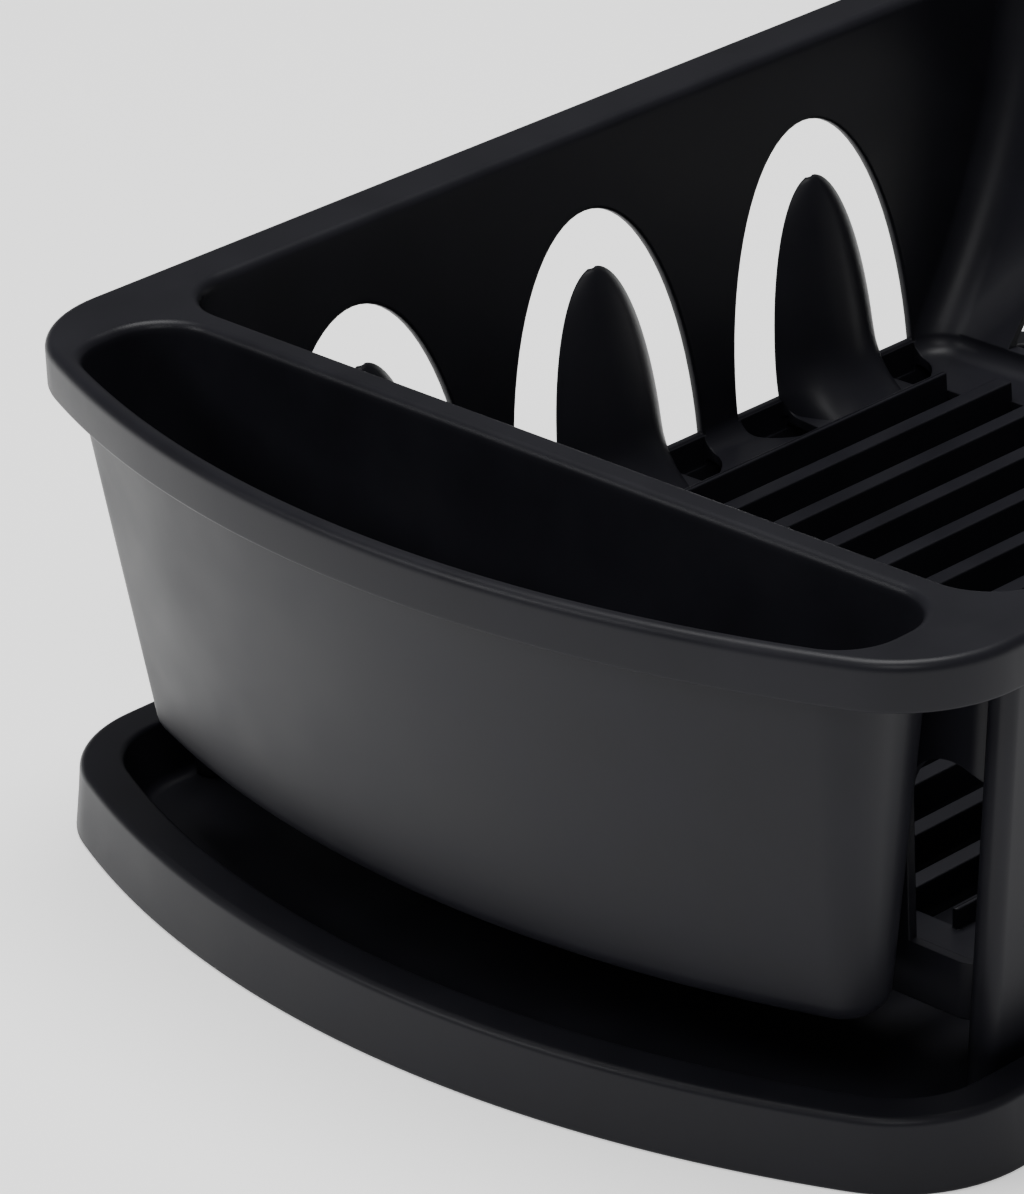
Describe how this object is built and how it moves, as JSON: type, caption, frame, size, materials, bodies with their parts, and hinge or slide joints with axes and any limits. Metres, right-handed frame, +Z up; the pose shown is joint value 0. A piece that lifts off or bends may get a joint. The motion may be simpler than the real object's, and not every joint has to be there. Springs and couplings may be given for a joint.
{
  "type": "dish drying rack",
  "caption": "Compact moulded plastic dish drying rack with a bow-fronted cutlery caddy, slotted basket walls and a barred floor, standing in its own drip tray.",
  "frame": {"origin": "centre of the drip tray's underside, on the surface it stands on", "axes": "+X along the length, away from the cutlery caddy; +Y to the back wall; +Z up"},
  "size_m": [0.372, 0.281, 0.122],
  "materials": {
    "rack_plastic": "fine satin moulded texture, very dark grey, slightly glossy on rounded edges",
    "tray_plastic": "fine satin moulded texture, very dark grey"
  },
  "bodies": {
    "tray": {"drip_tray": "tray_plastic"},
    "rack": {"rack_rim": "rack_plastic", "cutlery_caddy": "rack_plastic", "divider_wall": "rack_plastic", "back_wall": "rack_plastic", "front_wall": "rack_plastic", "end_wall": "rack_plastic", "basket_floor": "rack_plastic", "drain_bar_1": "rack_plastic", "drain_bar_2": "rack_plastic", "drain_bar_3": "rack_plastic", "drain_bar_4": "rack_plastic", "drain_bar_5": "rack_plastic", "drain_bar_6": "rack_plastic", "drain_bar_7": "rack_plastic", "drain_bar_8": "rack_plastic", "drain_bar_9": "rack_plastic", "drain_bar_10": "rack_plastic", "drain_bar_11": "rack_plastic", "back_plate_rest_1": "rack_plastic", "front_plate_rest_1": "rack_plastic", "end_plate_rest_1": "rack_plastic", "back_plate_rest_2": "rack_plastic", "front_plate_rest_2": "rack_plastic", "end_plate_rest_2": "rack_plastic", "back_plate_rest_3": "rack_plastic", "front_plate_rest_3": "rack_plastic", "end_plate_rest_3": "rack_plastic", "back_leg_near": "rack_plastic", "back_leg_far": "rack_plastic", "front_leg_near": "rack_plastic", "front_leg_far": "rack_plastic"}
  },
  "joints": [
    {"name": "rack_lift", "type": "slide", "parent": "tray", "child": "rack", "axis": [0, 0, 1], "range_m": [0, 0.1]}
  ]
}
